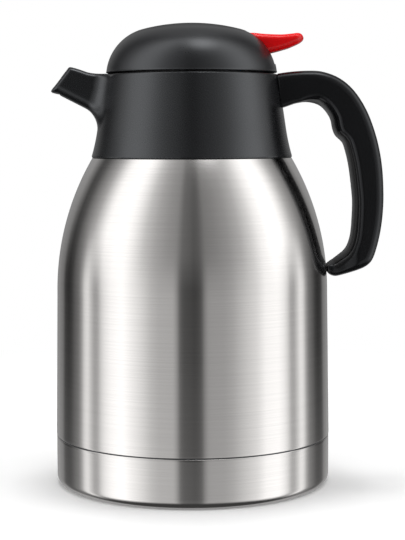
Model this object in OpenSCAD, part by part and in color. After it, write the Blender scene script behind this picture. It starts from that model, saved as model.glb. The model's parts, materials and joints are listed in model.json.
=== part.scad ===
// Thermal carafe: double-walled steel vessel, black spout collar and handle,
// screw-out stopper lid with a thumb lever that lifts a pouring valve.
// Millimetres. Origin on the vessel's axis at table height, +X to the handle, +Z up.

/* [Vessel] */
// Outside diameter of the steel body at the base seam
body_d = 148.4; // [136:0.2:160]
// How much the body's radius shrinks from the seam up to the shoulder
side_taper = 1.1; // [0:0.1:5]
// Height at which the shoulder starts to curve in
shoulder_z = 104; // [90:1:120]
// Height of the flat seat that carries the collar
seat_z = 175.6; // [160:0.2:190]
// Thickness of the outer steel shell
shell_wall = 0.6; // [0.5:0.1:1.2]
// Thickness of the inner steel liner
liner_wall = 0.6; // [0.5:0.1:1.2]
// Width of the vacuum between shell and liner
vacuum_gap = 4.6; // [3:0.1:8]
// Inside corner radius at the liner's floor
liner_round = 12; // [6:1:20]

/* [Neck] */
// Outside diameter of the steel neck
neck_d = 76; // [72:0.5:80]
// Height of the steel neck above the collar's seat
neck_h = 20.4; // [16:0.2:24]
// Width of the vacuum inside the neck
neck_gap = 1.2; // [0.8:0.1:2]
// Rise and run of the cone at the neck's root
neck_cone = 5; // [3:0.5:8]

/* [Base] */
// Height of the seam between the shell and the base cup
seam_z = 26.5; // [18:0.5:40]
// Width of the seam line
seam_gap = 0.5; // [0.3:0.1:1]
// Thickness of the base cup
cup_wall = 0.7; // [0.5:0.1:1.2]
// Outside radius of the base cup's lower edge
foot_round = 4.6; // [3:0.2:8]
// Width of the flat foot ring
foot_w = 6; // [4:0.5:12]
// Depth of the recess inside the foot ring
foot_rise = 2.5; // [1:0.5:3.5]
// Height of the shell's lower edge
shell_foot = 8; // [7.5:0.5:10]

/* [Collar] */
// Height of the collar
collar_h = 44.8; // [42:0.2:50]
// Lean of the collar's flank, in degrees
collar_lean = 8.6; // [6:0.2:11]
// Height of the flared skirt at the collar's foot
flare_h = 15.4; // [10:0.2:20]
// Radius of that flare
flare_r = 103; // [80:1:160]
// Thickness of the collar's flank
collar_wall = 2.6; // [2:0.1:3.5]
// Thickness of the collar's floor and ledge
ledge_t = 2.4; // [1.6:0.1:3]

/* [Spout] */
// Reach of the spout's lower lip beyond the collar's top edge
spout_reach = 28.4; // [22:0.2:34]
// Half width of the spout at its mouth
spout_w = 9; // [7:0.5:12]
// Half width of the spout where it leaves the collar
spout_root_w = 19; // [16:0.5:22]
// Thickness of the spout's wall
spout_wall = 2; // [1.5:0.1:2.6]

/* [Handle] */
// Width of the handle
handle_w = 24; // [20:0.5:30]
// Distance from the body to the outer edge of the grip
grip_reach = 29.4; // [27:0.2:40]
// Depth of the grip, from its inner to its outer edge
grip_depth = 17; // [14:0.5:20]
// Height at which the handle's foot meets the body
foot_z = 115.5; // [106:0.5:125]
// Distance between the two handle screws
screw_pitch = 12; // [9:0.5:14]
// Length of a handle screw under its head
screw_len = 15; // [10:1:18]
// Radius of a handle screw's shank
screw_r = 1.5; // [1.2:0.1:1.8]

/* [Stopper] */
// Thickness of the neck insert's wall
insert_wall = 2.2; // [1.8:0.1:3]
// Lead of the stopper's three-start thread, in millimetres a turn
lead = 24; // [20:1:28]
// Angle that each thread lug spans
lug_span = 30; // [20:1:34]
// Axial thickness of a thread lug
lug_t = 2; // [1.6:0.1:2.2]
// Thickness of the flat gasket under the stopper
gasket_t = 1.4; // [1:0.1:2]
// Thickness of the stopper's walls
stopper_wall = 2.2; // [1.8:0.1:3]
// Depth of the stopper's nose below its gasket
nose_h = 16; // [12:0.5:24]
// Radius of the pouring hole in the nose's floor
seat_hole_r = 13; // [10:0.5:15]
// Height of the pouring windows
window_h = 6.6; // [5:0.2:7]

/* [Lid] */
// Height of the dome above its rim
dome_h = 26.5; // [24:0.5:32]
// Radius of the dome's crown
crown_r = 105; // [90:1:130]
// Radius of the dome's shoulder
dome_round = 26.2; // [22:0.2:30]
// Thickness of the dome
dome_wall = 2.2; // [1.6:0.1:2.8]
// Thickness of the plate that closes the dome
plate_t = 2.4; // [2:0.1:3]

/* [Lever and valve] */
// Distance from the vessel's axis to the lever's pin
pivot_x = 22; // [20:0.5:24]
// Height of the lever's pin above the dome's rim
pivot_h = 9; // [8.6:0.1:10]
// Radius of the lever's pin
pin_r = 1.5; // [1.2:0.1:1.8]
// Depth of a lid screw in the dome's post
lid_bite = 4; // [3:0.5:6]
// Width of the thumb tab
tab_w = 17.4; // [14:0.2:20]
// Width of the lever inside the dome
beam_w = 12; // [11:0.5:13]
// Reach of the thumb tab beyond the dome's rim
tab_reach = 15.2; // [12:0.2:20]
// Radius of the valve's stem
stem_r = 2.5; // [2:0.1:2.8]
// Radius of the valve's disc
valve_r = 15.8; // [15.4:0.1:20]
// Radius of the return spring, to the middle of its wire
spring_r = 6; // [5.4:0.1:6.4]
// Radius of the spring's wire
wire_r = 0.55; // [0.4:0.05:0.7]

/* [Hidden] */
$fn = 120;
weld = 0.4;             // overlap that joins two shapes of one piece
fit = 0.05;             // radial running clearance of a pin or stem
touch = 0.3;            // clearance between pieces that move apart
body_r = body_d / 2;
shoulder_r = body_r - side_taper;
neck_r = neck_d / 2;

// Radii from the neck outwards
liner_neck_r = neck_r - shell_wall - neck_gap;
mouth_r = liner_neck_r - liner_wall;
bore_r = neck_r + 2;
insert_r = bore_r + insert_wall;
flange_r = insert_r + 1.2;
collar_top_r = flange_r + touch + collar_wall;
stopper_r = bore_r - 3;
lug_r = bore_r - touch;
ridge_r = stopper_r + 1.4;
nose_r = mouth_r - 3.7;

// Heights from the collar's seat upwards
mouth_z = seat_z + neck_h;
neck_gasket_t = 1.2;
shelf_t = 2.2;
shelf_z = mouth_z + neck_gasket_t + shelf_t;
stopper_z = shelf_z + touch + gasket_t + touch;
collar_top = seat_z + collar_h;
flange_t = 2.4;
insert_top = collar_top - 0.8;
ledge_z = insert_top - flange_t;
floor_z = shelf_z - 0.2;
dome_z = collar_top + 0.6;
dome_top = dome_z + dome_h;

// Collar's flank: a leaning wall with a flare at its foot
lean = tan(collar_lean);
flare_z = seat_z + flare_h;
function collar_r(z) = collar_top_r + lean * (collar_top - z)
    + (z < flare_z ? (flare_z - z) ^ 2 / (2 * flare_r) : 0);
lip = 0.6;
seat_r = collar_r(seat_z) - lip;

// Vessel's side and shoulder: a taper, then one arc that ends at the collar's seat
arc_dr = shoulder_r - seat_r;
arc_dz = seat_z - shoulder_z;
arc_r = (arc_dr ^ 2 + arc_dz ^ 2) / (2 * arc_dr);
arc_x = shoulder_r - arc_r;
liner_t = shell_wall + vacuum_gap;
function side_r(z) = body_r + (shoulder_r - body_r) * (z - seam_z) / (shoulder_z - seam_z);
function vessel_r(z) = z < shoulder_z ? side_r(z) : arc_x + sqrt(arc_r ^ 2 - (z - shoulder_z) ^ 2);
cup_r = body_r - 0.1;
step_r = cup_r - cup_wall - fit;
liner_floor = shell_foot + 4;

// Dome: a crown arc and a shoulder arc that meet smoothly
rim_r = collar_top_r - 0.4;
crown_z = dome_top - crown_r;
round_x = rim_r - dome_round;
round_z = crown_z + sqrt((crown_r - dome_round) ^ 2 - round_x ^ 2);
meet_a = atan2(round_z - crown_z, round_x);
function arc_points(x, z, r, a1, a2, n) =
    [for (i = [0:n]) let (a = a1 + (a2 - a1) * i / n) [x + r * cos(a), z + r * sin(a)]];
function dome_z_at(r) = r < crown_r * cos(meet_a) ? crown_z + sqrt(crown_r ^ 2 - r ^ 2)
    : round_z + sqrt(dome_round ^ 2 - (r - round_x) ^ 2);

// Stopper and thread
thread_steps = 8;
starts = 3;
nose_wall = 2;
nose_z = stopper_z - nose_h;
seat_face = nose_z + nose_wall;
window_z = stopper_z + 2.4;
lug_z = window_z + window_h + 0.6;
ridge_t = 1.8;
ridge_z = lug_z + lug_t + 0.4;
seal_t = 2;
seal_z = insert_top - seal_t + 0.4;
window_w = 30;

// Lever and valve
pivot_z = dome_z + pivot_h;
plate_z = dome_z + plate_t;
plate_r = round_x + sqrt((dome_round - dome_wall) ^ 2 - (plate_z - round_z) ^ 2) - fit;
nub_r = 2.2;
nub_z = pivot_z + 0.3;
head_z = nub_z + nub_r + touch;
head_t = 2.5;
head_r = 6.5;
gland_r = 4.4;
gland_t = 2.4;
boss_r = 7.5;
boss_z = dome_z - 5;
disc_t = 2;
valve_gasket_t = 1.5;
disc_z = seat_face + touch + valve_gasket_t;
spigot_r = 10.5;
spring_z = disc_z + disc_t;
spring_turns = 8;
tab_round = 6;
ear_w = 3;
ear_y = beam_w / 2 + 0.4;
slot_w = tab_w + 1.4;
slot_x = 29;
slot_z = dome_z + 4.4;
post_r = 2.5;
post_x = rim_r - 5.9;
lid_screw_r = 1.2;
lid_head_r = 2.2;
lid_head_t = 1;
lid_sink = 1.2;                     // depth of the screw's counterbore in the plate

// Handle screws
pad_x = collar_r(collar_top - 10) - collar_wall - 1;
screw_z = collar_top - 10;
screw_head_r = 2.8;
screw_head_t = 1.5;

steel = [0.78, 0.78, 0.78];
black = [0.13, 0.13, 0.14];
grey = [0.2, 0.2, 0.21];
silicone = [0.85, 0.84, 0.8];
red = [0.75, 0.06, 0.08];

// ---- Shapes that repeat ----

// Tube between two radii and two heights
module ring(r1, r2, z1, z2) {
    translate([0, 0, z1]) difference() {
        cylinder(r = r2, h = z2 - z1);
        translate([0, 0, -1]) cylinder(r = r1, h = z2 - z1 + 2);
    }
}

// Closed skin over a list of loops with as many points each
module loft(loops) {
    m = len(loops[0]);
    n = len(loops) - 1;
    sides = [for (i = [0:n - 1], k = [0:m - 1]) let (a = i * m + k, b = i * m + (k + 1) % m)
        each [[a, b, b + m], [a, b + m, a + m]]];
    ends = [[for (k = [m - 1:-1:0]) k], [for (k = [0:m - 1]) n * m + k]];
    polyhedron(points = [for (l = loops) each l], faces = concat(sides, ends));
}

// Stations between the given ones, on a smooth curve through them
function blend(p, q, r, s, t) = (2 * q + (r - p) * t + (2 * p - 5 * q + 4 * r - s) * t ^ 2
    + (3 * q - p - 3 * r + s) * t ^ 3) / 2;
function smooth(list, k) = let (n = len(list) - 1) concat(
    [for (i = [0:n - 1], j = [0:k - 1])
        blend(list[max(i - 1, 0)], list[i], list[i + 1], list[min(i + 2, n)], j / k)],
    [list[n]]);

// Loop of a beam's section, from station [x1, z1, x2, z2, half width] and a squareness
function power(v, n) = sign(v) * abs(v) ^ (2 / n);
function section(s, n, m) = [for (k = [0:m - 1]) let (a = 360 * k / m, u = power(sin(a), n))
    [(s[0] + s[2]) / 2 + (s[0] - s[2]) / 2 * u, s[4] * power(cos(a), n),
     (s[1] + s[3]) / 2 + (s[1] - s[3]) / 2 * u]];

// Stretch of helical thread: radii, height of its lower face, thickness and start angle
module thread(r1, r2, z, t, a) {
    loft([for (i = [0:thread_steps]) let (b = lug_span * i / thread_steps, h = z + lead * b / 360,
        c = cos(a + b), s = sin(a + b))
        [[r1 * c, r1 * s, h], [r2 * c, r2 * s, h], [r2 * c, r2 * s, h + t], [r1 * c, r1 * s, h + t]]]);
}

// Half of the vessel's outline set in by t, above height z, with a neck of radius r up to top
module vessel_2d(t, z, r, top) {
    polygon([[0, z], [side_r(z) - t, z], [shoulder_r - t, shoulder_z], [0, shoulder_z]]);
    intersection() {
        translate([arc_x, shoulder_z]) circle(r = arc_r - t);
        translate([0, shoulder_z - weld]) square([body_r, seat_z - t - shoulder_z + weld]);
    }
    translate([0, seat_z - t - weld]) polygon([[0, 0], [r + neck_cone, 0], [r + neck_cone, weld],
        [r, neck_cone + weld], [r, top - seat_z + t + weld], [0, top - seat_z + t + weld]]);
}

// Half of a floor with a rounded corner
module floor_2d(r, z, c) {
    translate([0, z]) square([r - c, 2 * c]);
    translate([0, z + c]) square([r, c]);
    translate([r - c, z + c]) circle(r = c);
}

// Half outline of the collar's outside set in by t, between two heights
module collar_2d(t, z1, z2) {
    polygon(concat([[0, z1]],
        [for (i = [0:8]) let (z = z1 + (max(z1, min(z2, flare_z)) - z1) * i / 8) [collar_r(z) - t, z]],
        [[collar_r(z2) - t, z2], [0, z2]]));
}

// Half outline of the dome set in by t
module dome_2d(t) {
    low = asin((dome_z - round_z) / dome_round);
    polygon(concat([[0, dome_z - (t > 0 ? 1 : 0)], [rim_r - t, dome_z - (t > 0 ? 1 : 0)]],
        arc_points(round_x, round_z, dome_round - t, low, meet_a, 18),
        arc_points(0, crown_z, crown_r - t, meet_a + 1, 90, 8)));
}

// ---- Steel vessel ----

module outer_shell() color(steel) rotate_extrude() difference() {
    union() {
        vessel_2d(0, seam_z, neck_r, mouth_z - liner_wall);
        translate([0, shell_foot]) square([step_r, seam_z - shell_foot + weld]);
    }
    vessel_2d(shell_wall, seam_z + shell_wall, neck_r - shell_wall, mouth_z + 1);
    translate([0, shell_foot - 1])
        square([step_r - shell_wall, seam_z + shell_wall - shell_foot + 1 + weld]);
}

module inner_liner() color(steel) rotate_extrude() difference() {
    union() {
        floor_2d(side_r(liner_floor) - liner_t, liner_floor, liner_round);
        vessel_2d(liner_t, liner_floor + liner_round, liner_neck_r, mouth_z);
        translate([0, mouth_z - liner_wall]) square([neck_r, liner_wall]);
    }
    floor_2d(side_r(liner_floor) - liner_t - liner_wall, liner_floor + liner_wall,
        liner_round - liner_wall);
    vessel_2d(liner_t + liner_wall, liner_floor + liner_round, mouth_r, mouth_z + 1);
}

module base_cup() color(steel) rotate_extrude() {
    inner = cup_r - foot_round - foot_w;
    slope = cup_wall * 0.6;
    difference() {
        union() {
            floor_2d(cup_r, 0, foot_round);
            translate([0, foot_round]) square([cup_r, seam_z - seam_gap - foot_round]);
        }
        polygon([[0, -1], [inner, -1], [inner, 0], [inner - foot_rise, foot_rise], [0, foot_rise]]);
        difference() {
            union() {
                floor_2d(cup_r - cup_wall, cup_wall, foot_round - cup_wall);
                translate([0, foot_round]) square([cup_r - cup_wall, seam_z]);
            }
            polygon([[0, 0], [inner + slope + cup_wall, 0], [inner + slope, cup_wall],
                [inner + slope - foot_rise, foot_rise + cup_wall], [0, foot_rise + cup_wall]]);
        }
    }
}

module outer_bottom() color(steel)
    ring(1.5, step_r, shell_foot - shell_wall, shell_foot);

module vacuum_plug() color("dimgray") {
    translate([0, 0, shell_foot - shell_wall - 1]) cylinder(r = 4, h = 1);
    translate([0, 0, shell_foot - shell_wall - weld]) cylinder(r = 1.5, h = shell_wall + weld);
}

module getter() color("gray") translate([25, 0, shell_foot]) cylinder(r = 8, h = 2);

// ---- Collar, insert and handle ----

// Stations [x1, z1, x2, z2, half width] of the spout's outside, from root to mouth
spout = [for (s = [
        [7, 0, 3, -34.4, spout_root_w + 2], [1, 0, -4, -29.4, spout_root_w],
        [-2.6, 0.1, -6, -23, 16.5], [-6.6, 0.3, -11, -18.2, 13.5], [-10.6, 1.2, -17, -15, 11.5],
        [-14.8, 2.7, -23, -11.9, 10], [-19, 3.8, -28.4, -9.9, 9]])
    let (k = spout_reach / 28.4, w = s[4] + (spout_w - 9) * (s[0] < 0 ? s[0] / -19 : 0))
    [s[0] * k - collar_top_r, s[1] + collar_top, s[2] * k - collar_top_r, s[3] + collar_top, w]];
// The same for its channel, which runs on past the mouth
channel = [for (s = spout) let (out = -s[0] - collar_top_r, run = max(0, out / 5),
        drop = 4 * min(1, max(0, 1 - out / 10)))
    [s[0] - run, s[1] - spout_wall - drop, s[2] - run, max(s[3] + spout_wall, floor_z + 2.4),
     s[4] - spout_wall]];

module collar() color(grey) difference() {
    union() {
        difference() {
            union() {
                rotate_extrude() intersection() {
                    collar_2d(0, seat_z, collar_top);
                    polygon([[0, seat_z], [seat_r, seat_z], [seat_r + lip, seat_z + lip],
                        [seat_r + lip, collar_top], [0, collar_top]]);
                }
                loft([for (s = smooth(spout, 2)) section(s, 2.6, 24)]);
            }
            rotate_extrude() {
                collar_2d(collar_wall, seat_z - 1, floor_z - ledge_t);
                collar_2d(collar_wall, floor_z, ledge_z - ledge_t);
                translate([0, seat_z - 1]) square([insert_r + 0.2, collar_h + 2]);
                translate([0, ledge_z]) square([flange_r + touch, collar_h]);
            }
            loft([for (s = smooth(channel, 2)) section(s, 2.6, 24)]);
        }
        for (s = [-1, 1]) translate([pad_x, s * screw_pitch / 2, screw_z]) rotate([0, 90, 0])
            cylinder(r = screw_head_r + 0.8, h = screw_head_t + 0.9);
    }
    for (s = [-1, 1]) translate([pad_x - 1, s * screw_pitch / 2, screw_z]) rotate([0, 90, 0])
        cylinder(r = screw_r + 0.15, h = collar_wall + 4);
}

module neck_gasket() color(silicone) ring(mouth_r, neck_r, mouth_z, mouth_z + neck_gasket_t);

module neck_insert() color(black) {
    skirt_r = neck_r + touch;
    difference() {
        union() {
            ring(skirt_r, insert_r - 0.8, seat_z + neck_cone + 2.4, shelf_z);
            ring(mouth_r + touch, insert_r, shelf_z - shelf_t, shelf_z);
            ring(bore_r, insert_r, shelf_z - weld, insert_top);
            ring(bore_r, flange_r, ledge_z, insert_top);
        }
        translate([-insert_r - 1, -window_w / 2, shelf_z + 1.4])
            cube([insert_r, window_w, lug_z - shelf_z - 1.6]);
    }
    for (k = [0:starts - 1]) thread(ridge_r, bore_r + weld, ridge_z, ridge_t, 360 / starts * k + 15);
}

// Stations of the handle, from the collar over the grip to its foot on the body:
// the outer edge, the inner edge and the half width
grip_x = body_r + grip_reach;
in_x = grip_x - grip_depth;
hand = handle_w / 2;
handle_path = [
    [collar_top_r - 3, collar_top - 0.4, collar_top_r - 3, collar_top - 18.6, hand],
    [collar_top_r + 5.7, collar_top + 1, collar_top_r + 5.7, collar_top - 17, hand],
    [collar_top_r + 15.7, collar_top + 1.7, collar_top_r + 14.7, collar_top - 15, hand],
    [grip_x - 33.6, collar_top + 1.2, in_x - 19, collar_top - 16, hand],
    [grip_x - 24.6, collar_top - 2.1, in_x - 14.6, collar_top - 19.2, hand],
    [grip_x - 16.6, collar_top - 8.5, in_x - 11.8, collar_top - 23.8, hand],
    [grip_x - 10.1, collar_top - 18.2, in_x - 10.6, collar_top - 29.4, hand],
    [grip_x - 5.6, collar_top - 28.9, in_x - 8.1, collar_top - 34, hand],
    [grip_x - 2.6, collar_top - 39.9, in_x - 4.2, collar_top - 39.8, hand],
    [grip_x - 0.8, collar_top - 50, in_x - 1.9, collar_top - 49.4, hand],
    [grip_x, foot_z + 41.5, in_x - 0.2, foot_z + 41.5, hand],
    [grip_x - 0.3, foot_z + 31.5, in_x + 0.1, foot_z + 31.5, hand],
    [grip_x - 1.6, foot_z + 20.5, in_x - 0.6, foot_z + 20.5, hand],
    [grip_x - 3.8, foot_z + 10, in_x - 3, foot_z + 11.3, hand],
    [grip_x - 7.6, foot_z + 2.3, in_x - 6.8, foot_z + 7.7, hand - 0.5],
    [body_r + 14.3, foot_z - 1.3, body_r + 1.8, foot_z + 5.4, hand - 1.5],
    [body_r + 5.3, foot_z - 4.1, body_r - 0.8, foot_z + 3.4, hand - 3],
    [body_r - 1.4, foot_z - 3.2, body_r - 4, foot_z + 2.2, hand - 4]];

module handle() color(black) difference() {
    loft([for (s = smooth(handle_path, 2)) section(s, 2.8, 20)]);
    rotate_extrude() collar_2d(0, seat_z - 1, collar_top + 3);
    rotate_extrude() vessel_2d(-touch, seam_z, neck_r, mouth_z);
    for (s = [-1, 1]) translate([pad_x, s * screw_pitch / 2, screw_z]) rotate([0, 90, 0])
        cylinder(r = screw_r + fit, h = screw_len + 1);
}

module handle_screws() color("silver")
    for (s = [-1, 1]) translate([pad_x, s * screw_pitch / 2, screw_z]) rotate([0, 90, 0]) {
        cylinder(r = screw_r, h = screw_len);
        translate([0, 0, -screw_head_t]) cylinder(r = screw_head_r, h = screw_head_t);
    }

// ---- Lid ----

module at_lid_screws() for (a = [60, 180, 300]) rotate(a) translate([post_x, 0, 0]) children();

module lid_dome() color(grey) difference() {
    union() {
        rotate_extrude() difference() {
            dome_2d(0);
            dome_2d(dome_wall);
        }
        intersection() {
            at_lid_screws() translate([0, 0, plate_z]) cylinder(r = post_r, h = dome_h);
            rotate_extrude() dome_2d(dome_wall - weld);
        }
    }
    translate([slot_x, -slot_w / 2, slot_z]) cube([rim_r, slot_w, dome_h]);
    at_lid_screws() translate([0, 0, plate_z - 1]) cylinder(r = lid_screw_r + fit, h = lid_bite + 2);
}

module lid_base() color(black) difference() {
    union() {
        translate([0, 0, dome_z]) cylinder(r = plate_r, h = plate_t);
        translate([0, 0, boss_z]) cylinder(r = boss_r, h = plate_z - boss_z);
        for (s = [-1, 1]) translate([pivot_x - 4, s * (ear_y + ear_w / 2) - ear_w / 2, plate_z - weld])
            cube([8, ear_w, pivot_h - plate_t + 4 + weld]);
    }
    translate([0, 0, boss_z - 1]) cylinder(r = stem_r + fit, h = plate_z - boss_z + 2);
    translate([0, 0, boss_z - 1]) cylinder(r = gland_r, h = gland_t + 1);
    translate([pivot_x, 0, pivot_z]) rotate([90, 0, 0])
        cylinder(r = pin_r + fit, h = 2 * (ear_y + ear_w) + 2, center = true);
    at_lid_screws() {
        translate([0, 0, dome_z - 1]) cylinder(r = lid_screw_r + 0.15, h = plate_t + 2);
        translate([0, 0, dome_z - 1]) cylinder(r = lid_head_r + 0.2, h = lid_sink + 1);
    }
}

module lid_screws() color("silver") at_lid_screws() {
    translate([0, 0, dome_z + lid_sink - lid_head_t]) cylinder(r = lid_head_r, h = lid_head_t);
    translate([0, 0, dome_z + lid_sink - weld])
        cylinder(r = lid_screw_r, h = plate_t - lid_sink + weld + lid_bite);
}

module stopper_body() color(black) {
    difference() {
        union() {
            ring(stopper_r - stopper_wall, stopper_r, stopper_z, dome_z);
            ring(nose_r - nose_wall, stopper_r, stopper_z, stopper_z + nose_wall);
            ring(nose_r - nose_wall, nose_r, nose_z, stopper_z + weld);
            ring(seat_hole_r, nose_r, nose_z, seat_face);
        }
        translate([-stopper_r - 1, -window_w / 2, window_z]) cube([stopper_r, window_w, window_h]);
    }
    for (k = [0:starts - 1]) thread(stopper_r - weld, lug_r, lug_z, lug_t, 360 / starts * k + 15);
}

module stopper_gasket() color(silicone)
    ring(nose_r + touch, stopper_r - 0.2, shelf_z + touch, shelf_z + touch + gasket_t);

module upper_seal() color(silicone) ring(stopper_r, lug_r, seal_z, seal_z + seal_t);

// ---- Lever and valve ----

// Side outline of the lever: the thumb tab, the root inside the dome and the fork under the head
tab_x = rim_r + tab_reach;
lever_path = [
    [slot_x + 1.2, dome_z_at(slot_x + 1.2) - 1], [tab_x - 23, dome_z + 20.2], [tab_x - 13, dome_z + 20.1],
    [tab_x - 4.5, dome_z + 21.3], [tab_x - 1.5, dome_z + 20.6], [tab_x, dome_z + 18.3],
    [tab_x - 1.8, dome_z + 15.9], [tab_x - 9, dome_z + 12.6], [rim_r - 2.9, dome_z + 10.3],
    [pivot_x + 14, pivot_z - 1], [pivot_x + 7, pivot_z - 2.2], [pivot_x, pivot_z - 3.2],
    [-3, pivot_z - 2.4], [-3, pivot_z + 1.2], [head_r + 2, pivot_z + 1.4], [pivot_x, pivot_z + 4],
    [slot_x, pivot_z + 7.4], [slot_x + 1.2, pivot_z + 8.4]];

module thumb_lever() color(red) difference() {
    union() {
        intersection() {
            rotate([90, 0, 0]) linear_extrude(height = tab_w + 2, center = true) polygon(lever_path);
            translate([0, 0, pivot_z - 20]) linear_extrude(height = 60) union() {
                translate([-4, -beam_w / 2]) square([slot_x + 6, beam_w]);
                translate([slot_x, -tab_w / 2]) square([tab_x - slot_x - tab_round, tab_w]);
                translate([tab_x - 8, tab_round - tab_w / 2]) square([8, tab_w - 2 * tab_round]);
                for (s = [-1, 1]) translate([tab_x - tab_round, s * (tab_w / 2 - tab_round)])
                    circle(r = tab_round);
            }
        }
        translate([0, 0, nub_z]) rotate([90, 0, 0]) cylinder(r = nub_r, h = beam_w, center = true);
    }
    translate([-10, -stem_r - 0.4, pivot_z - 20]) cube([10 + stem_r + 2.5, 2 * stem_r + 0.8, 40]);
    translate([pivot_x, 0, pivot_z]) rotate([90, 0, 0])
        cylinder(r = pin_r + fit, h = beam_w + 2, center = true);
}

module lever_pin() color("silver") translate([pivot_x, 0, pivot_z]) rotate([90, 0, 0])
    cylinder(r = pin_r, h = 2 * (ear_y + ear_w), center = true);

module valve_stem() color(grey) {
    translate([0, 0, disc_z - valve_gasket_t]) cylinder(r = spigot_r, h = valve_gasket_t + weld);
    translate([0, 0, disc_z]) cylinder(r = valve_r, h = disc_t);
    translate([0, 0, disc_z]) cylinder(r = stem_r, h = head_z - disc_z);
    translate([0, 0, disc_z]) cylinder(r = stem_r - 0.7, h = head_z + head_t + 1 - disc_z);
}

module valve_gasket() color(silicone)
    ring(spigot_r, valve_r, seat_face + touch, seat_face + touch + valve_gasket_t);

module stem_head() color("silver") ring(stem_r - 0.7, head_r, head_z, head_z + head_t);

module stem_seal() color(silicone) ring(stem_r + fit, gland_r, boss_z + 0.2, boss_z + gland_t);

module return_spring() color("silver") {
    sides = 6;
    steps = 12;
    h = boss_z - spring_z - 2 * wire_r - 0.1;
    loft([for (i = [0:spring_turns * steps]) let (a = 360 * i / steps,
        z = spring_z + wire_r + 0.05 + h * i / (spring_turns * steps))
        [for (k = [0:sides - 1]) let (b = -360 * k / sides, r = spring_r + wire_r * cos(b))
            [r * cos(a), r * sin(a), z + wire_r * sin(b)]]]);
}

outer_shell();
inner_liner();
base_cup();
outer_bottom();
vacuum_plug();
getter();
collar();
neck_gasket();
neck_insert();
handle();
handle_screws();
lid_dome();
lid_base();
lid_screws();
stopper_body();
stopper_gasket();
upper_seal();
thumb_lever();
lever_pin();
valve_stem();
valve_gasket();
stem_head();
stem_seal();
return_spring();
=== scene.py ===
"""Looks of the steel vacuum carafe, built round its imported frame.

Lengths are in millimetres until a mesh is made. Texture scales are per metre, bumps in metres.
"""
import bpy
import json
import math
import numpy as np
import openvdb
from mathutils import Matrix, Vector


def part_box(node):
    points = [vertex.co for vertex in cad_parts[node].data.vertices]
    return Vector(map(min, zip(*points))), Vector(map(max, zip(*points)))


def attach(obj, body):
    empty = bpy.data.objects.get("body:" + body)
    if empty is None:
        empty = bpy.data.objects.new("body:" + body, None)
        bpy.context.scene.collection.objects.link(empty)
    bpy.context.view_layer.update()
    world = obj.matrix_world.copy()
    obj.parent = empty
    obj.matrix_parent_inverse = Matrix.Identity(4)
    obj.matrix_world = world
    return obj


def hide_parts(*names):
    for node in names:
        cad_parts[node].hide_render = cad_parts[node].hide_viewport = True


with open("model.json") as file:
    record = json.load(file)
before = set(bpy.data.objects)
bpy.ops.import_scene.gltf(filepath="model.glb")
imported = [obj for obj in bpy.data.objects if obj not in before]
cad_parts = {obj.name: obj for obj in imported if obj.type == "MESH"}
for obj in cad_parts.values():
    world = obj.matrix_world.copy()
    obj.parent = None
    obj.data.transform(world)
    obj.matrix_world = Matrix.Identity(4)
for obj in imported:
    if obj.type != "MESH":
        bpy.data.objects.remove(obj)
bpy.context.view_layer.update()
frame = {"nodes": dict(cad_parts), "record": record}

MM = 0.001
TURN = 2 * math.pi
WHITE = (1, 1, 1, 1)


def low(node):
    """Lowest corner of a CAD node, in millimetres."""
    return [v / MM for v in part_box(node)[0]]


def high(node):
    """Highest corner of a CAD node, in millimetres."""
    return [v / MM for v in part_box(node)[1]]


# ---- Sizes, read from the frame where a node gives them ----
SEAM_GAP = 0.5
SEAM_EDGE = 0.35
CUP_R = high("base_cup")[1]
CUP_WALL = 0.7
BODY_R = CUP_R + 0.1
SEAM_Z = high("base_cup")[2] + SEAM_GAP
FOOT_ROUND = 4.6
FOOT_W = 6.0
FOOT_RISE = 2.5
SHOULDER_R = BODY_R - 1.1
SHOULDER_Z = 104.0
SHELL_FOOT = low("outer_shell")[2]
NECK_TOP = high("outer_shell")[2]
NECK_R = high("neck_gasket")[1]
NECK_CONE = 5.0
WALL = 0.6
STEP_R = CUP_R - 0.75
SEAT_Z = low("collar")[2]
COLLAR_TOP = high("neck_insert")[2] + 0.8
COLLAR_TOP_R = 46.3
COLLAR_LEAN = math.tan(math.radians(8.6))
FLARE_Z = SEAT_Z + 15.4
FLARE_R = 103.0
COLLAR_WALL = 2.6
COLLAR_TIP = low("collar")[0]
COLLAR_FLOOR = low("neck_gasket")[2] + 3.2
COLLAR_LEDGE = high("neck_insert")[2] - 2.4
LEDGE_T = 2.4
BORE_R = 42.4
RECESS_R = 43.7
DOME_Z = low("lid_dome")[2]
DOME_TOP = high("lid_dome")[2]
RIM_R = COLLAR_TOP_R - 0.4
CROWN_R = 105.0
DOME_ROUND = 26.2
DOME_WALL = 2.2
SLOT_X = 29.0
SLOT_W = 9.4
SLOT_Z = DOME_Z + 4.4
HANDLE_W = high("handle")[1]
SCREW_DROP = 10
SCREW_Z = COLLAR_TOP - SCREW_DROP
SCREW_Y = 6.0
PIVOT_X = 22.0
PIVOT_Z = DOME_Z + 9
TAB_W = high("thumb_lever")[1]
TAB_X = high("thumb_lever")[0]
BEAM_W = 6.0


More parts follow.
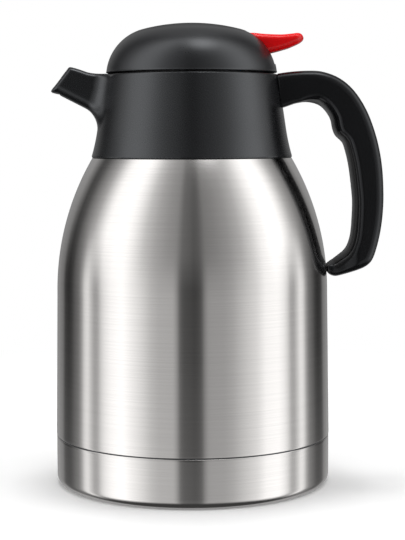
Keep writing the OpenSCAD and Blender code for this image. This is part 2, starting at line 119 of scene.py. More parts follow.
# ---- Camera at the photograph's viewing angle ----
def make_camera():
    """Side view from -Y, a little above the carafe's middle, looking down by a few degrees."""
    distance, height = 826.2, 190.3
    pitch, yaw, roll = (math.radians(v) for v in (5.227, -0.385, -0.163))
    sensor = 36.0
    data = bpy.data.cameras.new("camera")
    data.sensor_width = sensor
    data.sensor_fit = "VERTICAL"
    data.sensor_height = sensor
    data.lens = 101.76
    camera = bpy.data.objects.new("camera", data)
    right = Vector((math.cos(yaw), math.sin(yaw), 0))
    forward = Vector((-math.sin(yaw) * math.cos(pitch), math.cos(yaw) * math.cos(pitch),
                      -math.sin(pitch)))
    up = right.cross(forward)
    side = right * math.cos(roll) + up * math.sin(roll)
    top = up * math.cos(roll) - right * math.sin(roll)
    turn = Matrix((side, top, -forward)).transposed().to_4x4()
    camera.matrix_world = Matrix.Translation((0, -distance * MM, height * MM)) @ turn
    bpy.context.scene.collection.objects.link(camera)
    bpy.context.scene.camera = camera


# ---- Node helpers ----
class Nodes:
    """A small wrapper that adds nodes to a tree and links them."""

    def __init__(self, tree):
        self.tree = tree

    def add(self, kind, inputs=None, **settings):
        """Adds a node. inputs maps a socket's name or number to a value or another node's output."""
        node = self.tree.nodes.new(kind)
        for key, value in settings.items():
            setattr(node, key, value)
        for key, value in (inputs or {}).items():
            if isinstance(value, bpy.types.NodeSocket):
                self.tree.links.new(value, node.inputs[key])
            else:
                node.inputs[key].default_value = value
        return node

    def feed(self, output, node, socket):
        """Links an output to a node's socket."""
        self.tree.links.new(output, node.inputs[socket])

    def math(self, operation, a, b=0.0):
        """Output of a math node."""
        return self.add("ShaderNodeMath", {0: a, 1: b}, operation=operation).outputs[0]

    def scaled(self, vector, scale):
        """Output of a vector multiplied by three numbers."""
        return self.add("ShaderNodeVectorMath", {0: vector, 1: scale}, operation="MULTIPLY").outputs[0]

    def noise(self, vector, scale, detail=2.0, roughness=0.5):
        """Factor of a noise texture."""
        return self.add("ShaderNodeTexNoise", {"Vector": vector, "Scale": scale, "Detail": detail,
                                               "Roughness": roughness}).outputs["Fac"]

    def remap(self, value, low_in, high_in, low_out, high_out):
        """Output of a clamped linear map."""
        return self.add("ShaderNodeMapRange", {"Value": value, "From Min": low_in, "From Max": high_in,
                                               "To Min": low_out, "To Max": high_out}).outputs["Result"]

    def spread(self, noise, low_out, high_out):
        """A noise's usual range, 0.3 to 0.7, mapped to another."""
        return self.remap(noise, 0.3, 0.7, low_out, high_out)

    def mix(self, factor, a, b):
        """Colour between two colours."""
        return self.add("ShaderNodeMix", {0: factor, 6: a, 7: b}, data_type="RGBA").outputs[2]

    def place(self):
        """The point's place on the object."""
        return self.add("ShaderNodeTexCoord").outputs["Object"]

    def camera_ray(self):
        """1 for rays from the camera, 0 for reflected and scattered ones."""
        return self.add("ShaderNodeLightPath").outputs["Is Camera Ray"]

    def tint(self, shader, color, shade):
        """Sets the base colour, made lighter and darker by a shade."""
        scaled = self.add("ShaderNodeVectorMath", {0: color, 3: shade}, operation="SCALE")
        self.feed(scaled.outputs[0], shader, "Base Color")

    def bump(self, shader, strength, distance, height):
        """Sets a bump of the given distance in metres."""
        node = self.add("ShaderNodeBump", {"Strength": strength, "Distance": distance,
                                           "Height": height})
        self.feed(node.outputs[0], shader, "Normal")


def new_material(name, color, metallic, roughness, **constants):
    """A material with a Principled shader, its node wrapper and the shader itself."""
    material = bpy.data.materials.new(name)
    material.use_nodes = True
    tree = material.node_tree
    shader = tree.nodes["Principled BSDF"]
    shader.inputs["Base Color"].default_value = (*color, 1)
    shader.inputs["Metallic"].default_value = metallic
    shader.inputs["Roughness"].default_value = roughness
    for key, value in constants.items():
        shader.inputs[key.replace("_", " ")].default_value = value
    return material, Nodes(tree), shader


def brushed_steel(name, grey, roughness):
    """Steel brushed round the vertical axis: fine streaks in colour, roughness and bump."""
    tint = (grey, grey * 0.975, grey * 0.955)
    fine_scale, broad_scale = (16, 16, 2600), (3, 3, 900)
    fine_share, broad_share = 0.75, 0.25
    streak_rough, patch_rough = 0.012, 0.01
    material, n, shader = new_material(name, tint, 1.0, roughness, Anisotropic=0.8)
    where = n.place()
    fine = n.noise(n.scaled(where, fine_scale), 1.0, 1.0, 0.6)
    broad = n.noise(n.scaled(where, broad_scale), 1.0, 2.0, 0.5)
    patch = n.noise(where, 30.0)
    streaks = n.math("ADD", n.math("MULTIPLY", fine, fine_share), n.math("MULTIPLY", broad, broad_share))
    n.tint(shader, tint, n.spread(streaks, 0.955, 1.035))
    rough = n.math("ADD", n.spread(streaks, roughness - streak_rough, roughness + streak_rough),
                   n.remap(patch, 0.35, 0.65, -patch_rough, patch_rough))
    n.feed(rough, shader, "Roughness")
    tangent = n.add("ShaderNodeTangent", direction_type="RADIAL", axis="Z")
    n.feed(tangent.outputs[0], shader, "Tangent")
    shader.inputs["Anisotropic Rotation"].default_value = 0.25
    n.bump(shader, 0.1, 0.000006, streaks)
    return material


def plain_metal(name, grey, roughness):
    """Turned or drawn metal with a faint mottle."""
    material, n, shader = new_material(name, (grey, grey, grey), 1.0, roughness)
    mottle = n.noise(n.place(), 240.0, 3.0)
    n.feed(n.spread(mottle, roughness - 0.05, roughness + 0.08), shader, "Roughness")
    n.bump(shader, 0.1, 0.00005, mottle)
    return material


def textured_plastic(name, color, roughness, grain, depth, specular=0.95):
    """Moulded plastic with a spark-eroded grain of the given scale and depth in millimetres."""
    pit_rough, cloud_rough = 0.04, 0.02
    material, n, shader = new_material(name, color, 0.0, roughness, Specular_IOR_Level=specular,
                                       Specular_Tint=(0.93, 0.96, 1, 1))
    where = n.place()
    pits = n.noise(where, 1000.0 / grain, 2.0, 0.55)
    cloud = n.noise(where, 22.0, 3.0)
    n.tint(shader, color, n.math("MULTIPLY", n.spread(pits, 0.85, 1.15), n.spread(cloud, 0.95, 1.05)))
    rough = n.math("ADD", n.spread(pits, roughness - pit_rough, roughness + pit_rough),
                   n.spread(cloud, -cloud_rough, cloud_rough))
    n.feed(rough, shader, "Roughness")
    n.bump(shader, 0.35, depth * MM, pits)
    return material


def glossy_plastic(name, color, roughness):
    """Polished coloured plastic, a little uneven in gloss."""
    material, n, shader = new_material(name, color, 0.0, roughness)
    cloud = n.noise(n.place(), 35.0)
    n.tint(shader, color, n.spread(cloud, 0.97, 1.03))
    n.feed(n.spread(cloud, roughness - 0.02, roughness + 0.02), shader, "Roughness")
    return material


def soft_rubber(name, color):
    """Milky silicone with a little light let through."""
    material, n, shader = new_material(name, color, 0.0, 0.45, Subsurface_Weight=0.15)
    haze = n.noise(n.place(), 120.0)
    n.feed(n.spread(haze, 0.38, 0.52), shader, "Roughness")
    return material


MATERIALS = {
    "brushed_steel": brushed_steel("brushed_steel", 0.76, 0.14),
    "base_steel": brushed_steel("base_steel", 0.76, 0.14),
    "liner_steel": plain_metal("liner_steel", 0.6, 0.35),
    "sealing_metal": plain_metal("sealing_metal", 0.3, 0.6),
    "collar_plastic": textured_plastic("collar_plastic", (0.002, 0.002, 0.0027), 0.27, 0.4, 0.004),
    "dome_plastic": textured_plastic("dome_plastic", (0.004, 0.004, 0.0047), 0.31, 0.4, 0.004),
    "handle_plastic": textured_plastic("handle_plastic", (0.0045, 0.0045, 0.005), 0.2, 0.5, 0.002,
                                       specular=0.5),
    "inner_plastic": textured_plastic("inner_plastic", (0.02, 0.02, 0.021), 0.4, 0.8, 0.02),
    "lever_plastic": glossy_plastic("lever_plastic", (0.76, 0.002, 0.004), 0.16),
    "silicone": soft_rubber("silicone", (0.72, 0.7, 0.66)),
    "screw_steel": plain_metal("screw_steel", 0.65, 0.25),
    "spring_steel": plain_metal("spring_steel", 0.6, 0.28),
}


# ---- Mesh helpers ----
SHARP = 35
SHARP_IN_SOLIDS = 50


def shade(piece, angle):
    """Smooth shading, with edges above the given angle in degrees kept sharp."""
    mesh = piece.data
    mesh.polygons.foreach_set("use_smooth", [True] * len(mesh.polygons))
    mesh.set_sharp_from_angle(angle=math.radians(angle))


def dress_cad():
    """Gives every CAD node its slot's material and smooth shading between its sharp edges."""
    for part in frame["record"]["subparts"]:
        piece = frame["nodes"][part["node"]]
        piece.data.materials.clear()
        piece.data.materials.append(MATERIALS[part["material_slot"]])
        shade(piece, SHARP)


def make_piece(name, verts, faces, slot, body, replaced=(), angle=SHARP):
    """A mesh piece from points in millimetres, riding on a body and standing for CAD nodes."""
    mesh = bpy.data.meshes.new(name)
    mesh.from_pydata([(x * MM, y * MM, z * MM) for x, y, z in verts], [], faces)
    mesh.validate()
    piece = bpy.data.objects.new(name, mesh)
    bpy.context.scene.collection.objects.link(piece)
    mesh.materials.append(MATERIALS[slot])
    shade(piece, angle)
    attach(piece, body)
    if replaced:
        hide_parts(*replaced)
    return piece


def arc(x, z, r, start, end, steps):
    """Points on an arc, angles in degrees."""
    turn = [math.radians(start + (end - start) * i / steps) for i in range(steps + 1)]
    return [(x + r * math.cos(a), z + r * math.sin(a)) for a in turn]


def rounded(points, steps=5):
    """Closed outline from (r, z, radius) corners, each corner turned into a curve of that radius."""
    side_share = 0.49
    out = []
    count = len(points)
    for i, (x, z, radius) in enumerate(points):
        here = Vector((x, z))
        if radius <= 0:
            out.append((x, z))
            continue
        before = Vector(points[i - 1][:2]) - here
        after = Vector(points[(i + 1) % count][:2]) - here
        half = before.angle(after) / 2
        cut = min(radius / math.tan(half), side_share * before.length, side_share * after.length)
        a, b = here + before.normalized() * cut, here + after.normalized() * cut
        for k in range(steps + 1):
            t = k / steps
            out.append(tuple(a * (1 - t) ** 2 + here * 2 * t * (1 - t) + b * t ** 2))
    return out


def lathe(outline, segments=256):
    """Vertices and faces of a closed outline of (r, z) points turned round the vertical axis."""
    on_axis = 1e-6
    verts, faces, rows = [], [], []
    for r, z in outline:
        if r < on_axis:
            rows.append([len(verts)] * segments)
            verts.append((0, 0, z))
        else:
            rows.append(list(range(len(verts), len(verts) + segments)))
            verts += [(r * math.cos(TURN * k / segments), r * math.sin(TURN * k / segments), z)
                      for k in range(segments)]
    for i, row in enumerate(rows):
        nxt = rows[(i + 1) % len(rows)]
        for k in range(segments):
            j = (k + 1) % segments
            loop = [row[k], row[j], nxt[j], nxt[k]]
            face = [v for n, v in enumerate(loop) if v not in loop[:n]]
            if len(face) > 2:
                faces.append(face)
    return verts, faces


def cut_box(piece, corner_a, corner_b):
    """Cuts a box out of a piece."""
    (ax, ay, az), (bx, by, bz) = corner_a, corner_b
    verts = [(x * MM, y * MM, z * MM) for x in (ax, bx) for y in (ay, by) for z in (az, bz)]
    faces = [(0, 1, 3, 2), (4, 6, 7, 5), (0, 4, 5, 1), (2, 3, 7, 6), (0, 2, 6, 4), (1, 5, 7, 3)]
    mesh = bpy.data.meshes.new("cutter")
    mesh.from_pydata(verts, [], faces)
    cutter = bpy.data.objects.new("cutter", mesh)
    bpy.context.scene.collection.objects.link(cutter)
    modifier = piece.modifiers.new("cut", "BOOLEAN")
    modifier.operation, modifier.solver, modifier.object = "DIFFERENCE", "EXACT", cutter
    seen = piece.evaluated_get(bpy.context.evaluated_depsgraph_get())
    piece.data = bpy.data.meshes.new_from_object(seen)
    piece.modifiers.clear()
    bpy.data.objects.remove(cutter)
    shade(piece, SHARP)


# ---- Solid forms as distance fields: negative inside, in millimetres ----
FAR = 1e6
OUTSIDE = 9.0


def both(a, b, r=0.0):
    """What two fields share, with the edge between them rounded by r."""
    return np.minimum(np.maximum(a, b), -r) + np.hypot(np.maximum(a + r, 0), np.maximum(b + r, 0))


def either(a, b, r=0.0):
    """Two fields joined, with a fillet of radius r where they meet."""
    return np.maximum(np.minimum(a, b), r) - np.hypot(np.maximum(r - a, 0), np.maximum(r - b, 0))


def ease(v):
    """Smooth step from 0 to 1."""
    v = np.clip(v, 0, 1)
    return v * v * (3 - 2 * v)


def line_field(points, u, w):
    """Distance to a line of points in the plane of u and w."""
    nearest = np.full(np.broadcast(u, w).shape, FAR, np.float32)
    for (au, aw), (bu, bw) in zip(points, points[1:]):
        eu, ew = bu - au, bw - aw
        t = np.clip(((u - au) * eu + (w - aw) * ew) / (eu * eu + ew * ew), 0, 1)
        nearest = np.minimum(nearest, (u - au - t * eu) ** 2 + (w - aw - t * ew) ** 2)
    return np.sqrt(nearest)


def outline_field(points, u, w):
    """Distance to a closed outline in the plane of u and w, negative inside."""
    closed = points + points[:1]
    inside = np.zeros(np.broadcast(u, w).shape, bool)
    for (au, aw), (bu, bw) in zip(closed, closed[1:]):
        if bw != aw:
            inside ^= ((aw > w) != (bw > w)) & (u < (bu - au) * (w - aw) / (bw - aw) + au)
    return np.where(inside, -1, 1) * line_field(closed, u, w)


def flowing(points, steps=4):
    """Points on a smooth curve through the given ones."""
    last = len(points) - 1
    out = []
    for i in range(last):
        near = points[max(i - 1, 0)], points[i], points[i + 1], points[min(i + 2, last)]
        a, b, c, d = (Vector(p) for p in near)
        for k in range(steps):
            t = k / steps
            out.append(tuple((2 * b + (c - a) * t + (2 * a - 5 * b + 4 * c - d) * t ** 2
                              + (3 * b - a - 3 * c + d) * t ** 3) / 2))
    return out + [tuple(points[-1])]


def make_solid(name, node, step, field, slot, body):
    """A mesh piece on the zero surface of field(x, y, z), on a grid of the given step.

    The grid fills the box of the CAD node that the piece stands for.
    """
    axes = [np.arange(a - 2 * step, b + 3 * step, step, dtype=np.float32)
            for a, b in zip(low(node), high(node))]
    x, y, z = np.meshgrid(*axes, indexing="ij", sparse=True)
    values = np.broadcast_to(field(x, y, z), [len(axis) for axis in axes])
    grid = openvdb.FloatGrid(OUTSIDE)
    grid.copyFromArray(np.ascontiguousarray(values, dtype=np.float32))
    points, _, quads = grid.convertToPolygons(isovalue=0.0)
    points = points * step + np.array([axis[0] for axis in axes])
    return make_piece(name, points.tolist(), quads.tolist(), slot, body, [node], SHARP_IN_SOLIDS)


# ---- Steel body ----
def collar_r(z):
    """Outer radius of the collar at height z."""
    flare = np.maximum(FLARE_Z - z, 0) ** 2 / (2 * FLARE_R)
    return COLLAR_TOP_R + COLLAR_LEAN * (COLLAR_TOP - z) + flare


SEAT_R = float(collar_r(SEAT_Z)) - 0.6
ARC_R = ((SHOULDER_R - SEAT_R) ** 2 + (SEAT_Z - SHOULDER_Z) ** 2) / (2 * (SHOULDER_R - SEAT_R))
ARC_X = SHOULDER_R - ARC_R


def shoulder(inset):
    """The steel shoulder's arc, set in by a distance, from its start up to the collar's seat."""
    end = math.degrees(math.asin((SEAT_Z - inset - SHOULDER_Z) / (ARC_R - inset)))
    return arc(ARC_X, SHOULDER_Z, ARC_R - inset, 0, end, 48)


def make_shell():
    """Steel shell with a rolled edge at the seam. Extra rows by the edges keep the shading even."""
    row = 1
    neck_foot = NECK_R + NECK_CONE
    outer = rounded([(STEP_R, SHELL_FOOT, 0), (STEP_R, SEAM_Z, 0), (BODY_R, SEAM_Z, SEAM_EDGE),
                     (BODY_R, SEAM_Z + row, 0), (BODY_R, SEAM_Z + 2 * row, 0),
                     (SHOULDER_R, SHOULDER_Z - row, 0), (SHOULDER_R, SHOULDER_Z, 0)])[:-1]
    outer += shoulder(0)
    outer += [(neck_foot, SEAT_Z), (NECK_R, SEAT_Z + NECK_CONE), (NECK_R, NECK_TOP)]
    inner = [(NECK_R - WALL, NECK_TOP), (NECK_R - WALL, SEAT_Z - WALL + NECK_CONE),
             (neck_foot - WALL, SEAT_Z - WALL)]
    inner += shoulder(WALL)[::-1]
    inner += [(BODY_R - WALL, SEAM_Z + WALL), (STEP_R - WALL, SEAM_Z + WALL),
              (STEP_R - WALL, SHELL_FOOT)]
    make_piece("steel_shell", *lathe(outer + inner), "brushed_steel", "jug", ["outer_shell"])


def make_seam_shade():
    """Painted shade: a dark ring in the seam's gap, a little behind the steel's face, standing in for the
    gap's shadow.
    """
    inner, outer = STEP_R - 0.1, CUP_R - 0.15
    dark_ring = [(inner, SEAM_Z - SEAM_GAP), (outer, SEAM_Z - SEAM_GAP), (outer, SEAM_Z), (inner, SEAM_Z)]
    make_piece("seam_shade_ring", *lathe(dark_ring), "inner_plastic", "jug")


def make_base():
    """Steel base cup: rolled upper edge, rounded lower edge, foot ring and recess."""
    top = SEAM_Z - SEAM_GAP
    foot = CUP_R - FOOT_ROUND - FOOT_W
    step, lift = 0.4, 0.15
    low_row, high_row = 1, 1.4
    outer = [(0, FOOT_RISE), (foot - 2 * FOOT_RISE, FOOT_RISE), (foot - FOOT_RISE * 0.7, FOOT_RISE * 0.8),
             (foot - step, lift), (foot, 0)]
    outer += arc(CUP_R - FOOT_ROUND, FOOT_ROUND, FOOT_ROUND, -90, 0, 12)
    outer += [(CUP_R, FOOT_ROUND + low_row), (CUP_R, top - high_row)]
    outer += arc(CUP_R - SEAM_EDGE, top - SEAM_EDGE, SEAM_EDGE, 0, 90, 4)
    inner = [(CUP_R - CUP_WALL, top)]
    inner += arc(CUP_R - FOOT_ROUND, FOOT_ROUND, FOOT_ROUND - CUP_WALL, 0, -90, 8)
    inner += [(foot + step, CUP_WALL), (foot - FOOT_RISE * 0.5, FOOT_RISE * 0.8 + CUP_WALL),
              (foot - 2 * FOOT_RISE, FOOT_RISE + CUP_WALL), (0, FOOT_RISE + CUP_WALL)]
    make_piece("steel_base", *lathe(outer + inner), "base_steel", "jug", ["base_cup"])


# ---- Collar and spout. Spout points are counted from the collar's top edge, outwards and up ----
COLLAR_FOOT_ROUND = 1.1
COLLAR_RIM_ROUND = 0.8
COLLAR_INNER_ROUND = 0.4
SPOUT_TOP = [(-8, 0), (2, 0), (6.3, 0.3), (9.3, 0.9), (12.1, 1.9), (15.2, 2.9), (17.6, 3.5),
             (18.7, 3.6)]
SPOUT_SIDE = [(-8, 20), (33, 20), (33, -8.5), (29.2, -9.5), (27.7, -10.1), (25.4, -10.6),
              (23.7, -11.5), (14.7, -16.1), (4.3, -21.4), (-8, -27.5)]
SPOUT_W = 12.5
SPOUT_ROUND = 5.0
FILLET_AT, FILLET = [-16, -8], [8, 6.5]
LIP_AT, LIP_ROUND = [-6, -2, 8], [COLLAR_RIM_ROUND, 3.5, 3.0]
MOUTH_OUT, MOUTH_UP = 19.0, 3.4
MOUTH_WAY_OUT, MOUTH_WAY_UP = 0.788, 0.615
MOUTH_ROUND = 0.5
BEVEL, BEVEL_ROUND = 1.3, 0.4
BEVEL_ACROSS, BEVEL_ALONG = 0.42, 0.91
NOTCH_R, NOTCH_OUT, NOTCH_UP = 0.95, 24.8, -11.3
SPOUT_WALL = 2.0
CHEEK = 3.4
CHANNEL_ROUND, CHANNEL_TOP_ROUND = 3.0, 1.0
CHANNEL_DROP = 1.7
CHANNEL_DIP, CHANNEL_RUN = 4, 10
PAD_R, PAD_HALF, PAD_SINK = 3.6, 1.2, 1
SCREW_HOLE, SCREW_START = 1.65, 40


def screw_distance(y, z):
    """Distance from the axes of the two handle screws."""
    return np.hypot(np.abs(y) - SCREW_Y, z - SCREW_Z)


def collar_field(x, y, z):
    """Collar in one piece with its spout, hollow for the neck, with pads for the handle's screws."""
    r = np.hypot(x, y)
    flank = r - collar_r(z)
    outside = both(both(flank, SEAT_Z - z, COLLAR_FOOT_ROUND), z - COLLAR_TOP, COLLAR_RIM_ROUND)

    out, up = -x - COLLAR_TOP_R, z - COLLAR_TOP
    side = outline_field(SPOUT_SIDE, out, up)
    across = np.abs(y) - SPOUT_W
    spout = both(side, across, SPOUT_ROUND)
    solid = either(outside, spout, np.interp(up, FILLET_AT, FILLET))
    top = np.interp(out, *zip(*flowing(SPOUT_TOP)))
    solid = both(solid, up - top, np.interp(out, LIP_AT, LIP_ROUND))
    face = (out - MOUTH_OUT) * MOUTH_WAY_OUT + (up - MOUTH_UP) * MOUTH_WAY_UP
    solid = both(solid, face, MOUTH_ROUND)
    solid = np.maximum(solid, COLLAR_TIP - x)
    solid = both(solid, across * BEVEL_ACROSS + face * BEVEL_ALONG + BEVEL, BEVEL_ROUND)
    solid = np.maximum(solid, NOTCH_R - np.hypot(out - NOTCH_OUT, up - NOTCH_UP))

    channel = both(both(side + SPOUT_WALL, across + CHEEK, CHANNEL_ROUND),
                   up + CHANNEL_DROP + CHANNEL_DIP * np.clip(1 - out / CHANNEL_RUN, 0, 1),
                   CHANNEL_TOP_ROUND)
    inner = flank + COLLAR_WALL
    hollow = np.minimum(np.maximum(inner, z - COLLAR_FLOOR + LEDGE_T),
                        np.maximum(inner, np.maximum(COLLAR_FLOOR - z, z - COLLAR_LEDGE + LEDGE_T)))
    hollow = np.minimum(hollow, r - BORE_R)
    hollow = np.minimum(hollow, np.maximum(r - RECESS_R, COLLAR_LEDGE - z))
    shell = both(solid, -np.minimum(hollow, channel), COLLAR_INNER_ROUND)

    screw = screw_distance(y, z)
    pad_x = COLLAR_TOP_R + COLLAR_LEAN * SCREW_DROP - COLLAR_WALL - PAD_SINK
    pad = np.maximum(screw - PAD_R, np.abs(x - pad_x - PAD_HALF) - PAD_HALF)
    return np.maximum(np.minimum(shell, pad), -np.maximum(screw - SCREW_HOLE, SCREW_START - x))


# ---- Handle, drawn from the side ----
HANDLE_OUTER = [(43, 219.8), (52, 221.2), (62, 221.8), (70, 221.2), (78.8, 217.8), (86.4, 211.4),
                (92.8, 201.8), (97.2, 191.2), (100.2, 180.4), (102, 169), (102.7, 156), (102.4, 146),
                (101.2, 136), (99.1, 126.8), (96.8, 120.6), (93.3, 117.1), (87.6, 114.7), (79.2, 112)]
HANDLE_NOSE = [(75.8, 111.9), (73.4, 113.3), (72.7, 115.6), (73.4, 118)]
HANDLE_INNER = [(75.8, 120.8), (79, 123.1), (82.2, 125.5), (84.5, 129.1), (86.1, 136), (86.8, 150),
                (86.2, 159), (84.5, 171.7), (82.2, 181), (80.7, 184.1), (77.4, 187.3), (75.8, 191),
                (74.3, 197), (69.5, 203), (63, 205.3), (56.5, 204.7), (50, 202.6), (43, 200.4)]
INNER_ROUND, ROUND_GAIN = 0.8, 3.4
ROUND_FROM, ROUND_RUN = 4, 6
PINCH = 4
PINCH_X, PINCH_X_RUN = 90, 16
PINCH_Z, PINCH_Z_RUN = 130, 8
CHAMFER, CHAMFER_ROUND = 3.2, 2.0
CHAMFER_ACROSS, CHAMFER_IN = 0.44, 0.9
CHAMFER_FROM, CHAMFER_RUN = 58, 10
HANDLE_GAP = 0.3
ARC_SHARE = 0.98
PILOT_R, PILOT_END = 1.55, 60.2


def handle_field(x, y, z):
    """Handle: a rounded bar with a chamfer along its inner edge and a narrower foot."""
    side = outline_field(flowing(HANDLE_OUTER + HANDLE_NOSE + HANDLE_INNER), x, z)
    edge = line_field(flowing(HANDLE_INNER), x, z)
    foot = ease((PINCH_X - x) / PINCH_X_RUN) * ease((PINCH_Z - z) / PINCH_Z_RUN)
    strength = np.clip((x - CHAMFER_FROM) / CHAMFER_RUN, 0, 1)
    half = HANDLE_W - PINCH * foot
    bar = both(side, np.abs(y) - half,
               INNER_ROUND + ROUND_GAIN * np.clip((edge - ROUND_FROM) / ROUND_RUN, 0, 1))
    slope = (np.abs(y) - half) * CHAMFER_ACROSS + (CHAMFER * strength - edge) * CHAMFER_IN
    bar = both(bar, slope, CHAMFER_ROUND)

    r = np.hypot(x, y)
    wall = np.interp(z, [SEAM_Z, SHOULDER_Z], [BODY_R, SHOULDER_R])
    rise = np.clip(z - SHOULDER_Z, 0, ARC_R * ARC_SHARE)
    wall = np.where(z > SHOULDER_Z, ARC_X + np.sqrt(ARC_R ** 2 - rise ** 2), wall)
    bar = np.maximum(bar, -np.where(z > SEAT_Z, r - collar_r(z), r - wall - HANDLE_GAP))
    return np.maximum(bar, -np.maximum(screw_distance(y, z) - PILOT_R, x - PILOT_END))


# ---- Dome ----
RIM_ROUND = 0.5
POST_TURNS = (60, 180, 300)
POST_SET_IN = 5.9
POST_R, POST_BORE = 2.5, 1.25
POST_FOOT, POST_BORE_END, POST_WELD = 2.4, 8, 1
CUT_PAST = 9


def make_dome():
    """Domed cover with the lever's slot and three screw posts."""
    crown_z = DOME_TOP - CROWN_R
    round_x = RIM_R - DOME_ROUND
    round_z = crown_z + math.sqrt((CROWN_R - DOME_ROUND) ** 2 - round_x ** 2)
    meet = math.degrees(math.atan2(round_z - crown_z, round_x))
    foot = math.degrees(math.asin((DOME_Z - round_z) / DOME_ROUND))
    outer = (arc(0, crown_z, CROWN_R, 90, meet, 24)
             + arc(round_x, round_z, DOME_ROUND, meet, foot, 40)[1:])
    inner = (arc(round_x, round_z, DOME_ROUND - DOME_WALL, foot, meet, 24)
             + arc(0, crown_z, CROWN_R - DOME_WALL, meet, 90, 12)[1:])
    outer = [(r, z) for r, z in outer if z > DOME_Z + RIM_ROUND]
    inner = [(r, z) for r, z in inner if z > DOME_Z + 0.1]
    rim = arc(RIM_R - RIM_ROUND, DOME_Z + RIM_ROUND, RIM_ROUND, -5, -90, 4)
    rim += [(RIM_R - DOME_WALL, DOME_Z)]
    outer[0], inner[-1] = (0, DOME_TOP), (0, DOME_TOP - DOME_WALL)
    verts, faces = lathe((outer + rim + inner)[::-1])
    piece = make_piece("dome_shell", verts, faces, "dome_plastic", "lid", ["lid_dome"])
    cut_box(piece, (SLOT_X, -SLOT_W, SLOT_Z), (RIM_R + CUT_PAST, SLOT_W, DOME_TOP + CUT_PAST))

    post_x = RIM_R - POST_SET_IN
    reach = post_x + POST_R - round_x
    top = round_z + math.sqrt((DOME_ROUND - DOME_WALL) ** 2 - reach ** 2) + POST_WELD
    post_foot, bore_end = DOME_Z + POST_FOOT, DOME_Z + POST_BORE_END
    post = [(POST_BORE, post_foot), (POST_R, post_foot), (POST_R, top), (0, top), (0, bore_end),
            (POST_BORE, bore_end)]
    verts, faces = lathe(post, 32)
    for turn in POST_TURNS:
        x, y = post_x * math.cos(math.radians(turn)), post_x * math.sin(math.radians(turn))
        make_piece("dome_post_%d" % turn, [(x + a, y + b, c) for a, b, c in verts], faces,
                   "dome_plastic", "lid")


# ---- Lever, drawn from the side ----
TAB_TOP = [(29.5, 241.8), (33, 242), (37.8, 241.5), (43.2, 241.2), (48.5, 241.1), (53.9, 241.6),
           (56.8, 241.9), (59.2, 241.3), (60.5, 239.7), (60.2, 238), (58.3, 236.8), (54.6, 235.1),
           (51.9, 234), (48.5, 233), (45.3, 232.1), (42.1, 231.4)]
BEAM = [(36, 229), (29, 227.8), (PIVOT_X, 226.8), (-3, 227.6), (-3, 231.2), (8.5, 231.4),
        (PIVOT_X, 234), (SLOT_X, 237.4)]
TAB_CORNER = 6.0
TAB_ROUND, BEAM_ROUND, JOIN_ROUND = 3.2, 0.6, 1.0
BEAM_REACH = 2
NUB_R, NUB_RISE = 2.2, 0.3
FORK_HALF, FORK_END = 2.9, 5
PIN_HOLE = 1.55


def lever_field(x, y, z):
    """Thumb lever: a rounded tab outside the dome, and a forked beam on the pin inside it."""
    side = outline_field(flowing(TAB_TOP) + BEAM, x, z)
    tab = np.hypot(np.maximum(x - TAB_X + TAB_CORNER, 0),
                   np.maximum(np.abs(y) - TAB_W + TAB_CORNER, 0)) - TAB_CORNER
    tab = np.maximum(np.maximum(tab, np.abs(y) - TAB_W), SLOT_X - x)
    beam = np.maximum(np.abs(y) - BEAM_W, x - SLOT_X - BEAM_REACH)
    body = either(both(side, tab, TAB_ROUND), both(side, beam, BEAM_ROUND), JOIN_ROUND)
    nub = np.maximum(np.hypot(x, z - PIVOT_Z - NUB_RISE) - NUB_R, np.abs(y) - BEAM_W)
    body = np.minimum(body, nub)
    body = np.maximum(body, -np.maximum(np.abs(y) - FORK_HALF, x - FORK_END))
    return np.maximum(body, PIN_HOLE - np.hypot(x - PIVOT_X, z - PIVOT_Z))


# ---- Light. Each ring is (direction from the front, 0, to the back, 1; brightness) ----
PANELS = [(0.0, 0.05), (0.03, 0.06), (0.05, 0.1), (0.062, 0.28), (0.08, 0.43), (0.15, 0.45),
          (0.19, 0.54), (0.22, 0.68), (0.26, 0.86), (0.3, 1.03), (0.345, 1.3), (0.41, 1.25),
          (0.44, 1.1), (0.465, 0.85), (0.488, 0.45), (0.51, 0.42), (0.535, 0.7), (0.555, 1.0),
          (0.578, 0.88), (0.6, 0.42), (0.625, 0.2), (0.66, 0.12), (0.69, 0.05), (0.72, 0.03),
          (0.765, 0.05), (0.8, 0.2), (0.87, 0.28), (0.93, 0.28), (1.0, 0.28)]
HIGH_PANELS = [(0.0, 0.11), (0.04, 0.14), (0.07, 0.26), (0.12, 0.31), (0.18, 0.41), (0.24, 0.6),
               (0.29, 0.92), (0.34, 1.25), (0.4, 1.45), (0.47, 1.42), (0.5, 1.2), (0.535, 0.82),
               (0.57, 0.5), (0.61, 0.33), (0.65, 0.2), (0.685, 0.1), (0.73, 0.07), (0.77, 0.2),
               (0.82, 0.34), (0.9, 0.36), (1.0, 0.34)]
BOUNCE = 0.09
LAMP_WAY = (0.18, -0.2, 0.96)
LAMP_CORE, LAMP_EDGE, LAMP_LEVEL = 0.1, 0.34, 3.6


def ring(n, around, stops):
    """Brightness of the studio by direction, from the front (0) round to the back (1)."""
    panels = n.add("ShaderNodeValToRGB", {0: around})
    for i, (at, level) in enumerate(stops):
        stop = panels.color_ramp.elements[i] if i < 2 else panels.color_ramp.elements.new(at)
        stop.position = at
        stop.color = (level, level, level, 1)
    return panels.outputs[0]


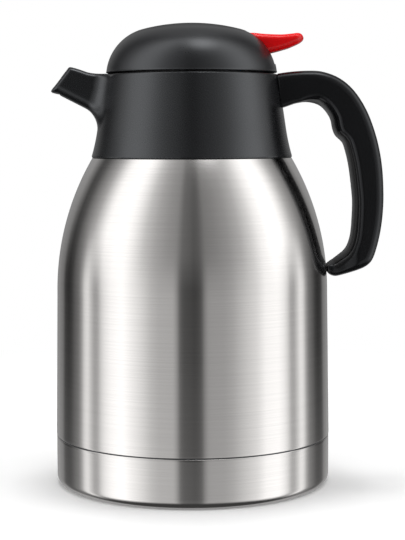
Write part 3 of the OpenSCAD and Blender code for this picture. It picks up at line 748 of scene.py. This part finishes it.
def make_world():
    """White to the camera. To the object it is a studio: soft panels all round, one lamp above."""
    world = bpy.data.worlds.new("studio")
    world.use_nodes = True
    bpy.context.scene.world = world
    tree = world.node_tree
    tree.nodes.clear()
    n = Nodes(tree)
    compass = n.add("ShaderNodeTexCoord").outputs["Generated"]
    way = n.add("ShaderNodeSeparateXYZ", {0: compass}).outputs

    # Panels by direction, a little different to the left and the right
    side = n.math("SIGN", way["X"])
    back = n.math("MULTIPLY", way["Y"], -1)
    around = n.math("DIVIDE", n.math("ARCTAN2", n.math("ABSOLUTE", way["X"]), back), math.pi)
    shift = n.math("MULTIPLY", side, n.remap(around, 0.1, 0.4, -0.008, 0.011))
    turned = n.math("SUBTRACT", around, shift)
    upward = n.remap(way["Z"], -0.02, 0.25, 0.0, 1.0)
    panels = n.mix(upward, ring(n, turned, PANELS), ring(n, turned, HIGH_PANELS))
    gain = n.math("SUBTRACT", 1.0, n.math("MULTIPLY", side, n.remap(around, 0.3, 0.42, 0.14, -0.04)))
    behind = n.math("MULTIPLY", n.remap(around, 0.93, 0.97, 0.0, 0.85),
                    n.remap(way["Z"], 0.3, 0.45, 1.0, 0.0))
    gain = n.math("MULTIPLY", gain, n.math("SUBTRACT", 1.0, behind))

    # Light bounced from ceiling and floor, then the darker ground straight below
    bounce = n.math("ADD", n.remap(way["Z"], 0.78, 0.9, 0.0, BOUNCE),
                    n.remap(way["Z"], -0.12, -0.25, 0.0, BOUNCE))
    level = n.math("ADD", n.math("MULTIPLY", panels, gain), bounce)
    ground = n.remap(way["Y"], 0.3, 0.75, 0.05, 0.6)
    low_down = n.remap(way["Z"], -0.45, -0.75, 0.0, 1.0)
    level = n.math("ADD", n.math("MULTIPLY", level, n.math("SUBTRACT", 1.0, low_down)),
                   n.math("MULTIPLY", ground, low_down))

    # Round lamp above
    offset = n.add("ShaderNodeVectorMath", {0: compass, 1: LAMP_WAY}, operation="DISTANCE")
    lamp = n.remap(offset.outputs["Value"], LAMP_CORE, LAMP_EDGE, LAMP_LEVEL, 0.0)
    light = n.math("MAXIMUM", level, lamp)
    seen = n.add("ShaderNodeBackground", {"Color": WHITE, "Strength": 1.0})
    studio = n.add("ShaderNodeBackground", {"Color": WHITE, "Strength": light})
    mixed = n.add("ShaderNodeMixShader", {0: n.camera_ray(), 1: studio.outputs[0], 2: seen.outputs[0]})
    n.add("ShaderNodeOutputWorld", {0: mixed.outputs[0]})


def make_lamp():
    """Wide soft lamp overhead. The studio holds what shines in the object, so it isn't reflected."""
    data = bpy.data.lights.new("overhead", "AREA")
    data.size, data.energy = 0.45, 10.5
    lamp = bpy.data.objects.new("overhead", data)
    lamp.location = (0, 0.15, 1.3)
    lamp.visible_glossy = False
    bpy.context.scene.collection.objects.link(lamp)


def make_floor():
    """Round white floor that keeps the soft shadow and fades into the background."""
    steps, radius = 128, 0.6
    grey, glow = 0.86, 0.09
    fade_from, fade_to = 0.25, 0.5
    verts = [(radius * math.cos(TURN * k / steps), radius * math.sin(TURN * k / steps), 0)
             for k in range(steps)]
    mesh = bpy.data.meshes.new("floor")
    mesh.from_pydata(verts, [], [list(range(steps))])
    floor = bpy.data.objects.new("floor", mesh)
    bpy.context.scene.collection.objects.link(floor)

    material, n, shader = new_material("floor", (grey, grey, grey), 0.0, 0.6)
    where = n.place()
    n.feed(n.spread(n.noise(where, 60.0), 0.58, 0.64), shader, "Roughness")
    shader.inputs["Emission Color"].default_value = WHITE
    camera_ray = n.camera_ray()
    n.feed(n.math("MULTIPLY", camera_ray, glow), shader, "Emission Strength")
    out_there = n.add("ShaderNodeVectorMath", {0: where}, operation="LENGTH").outputs["Value"]
    fade = n.math("MULTIPLY", camera_ray, n.remap(out_there, fade_from, fade_to, 0.0, 1.0))
    white = n.add("ShaderNodeEmission", {"Color": WHITE, "Strength": 1.0})
    mixed = n.add("ShaderNodeMixShader", {0: fade, 1: shader.outputs[0], 2: white.outputs[0]})
    n.feed(mixed.outputs[0], n.tree.nodes["Material Output"], 0)
    mesh.materials.append(material)
    floor.visible_glossy = False


make_camera()
dress_cad()
make_shell()
# Painted shade in the seam: a dark ring in the gap between shell and base.
make_seam_shade()
make_base()
make_solid("collar_shell", "collar", 0.56, collar_field, "collar_plastic", "jug")
make_solid("handle_grip", "handle", 0.4, handle_field, "handle_plastic", "jug")
make_dome()
make_solid("red_lever", "thumb_lever", 0.3, lever_field, "lever_plastic", "lever")
make_world()
make_lamp()
make_floor()
bpy.context.scene.view_settings.view_transform = "Standard"
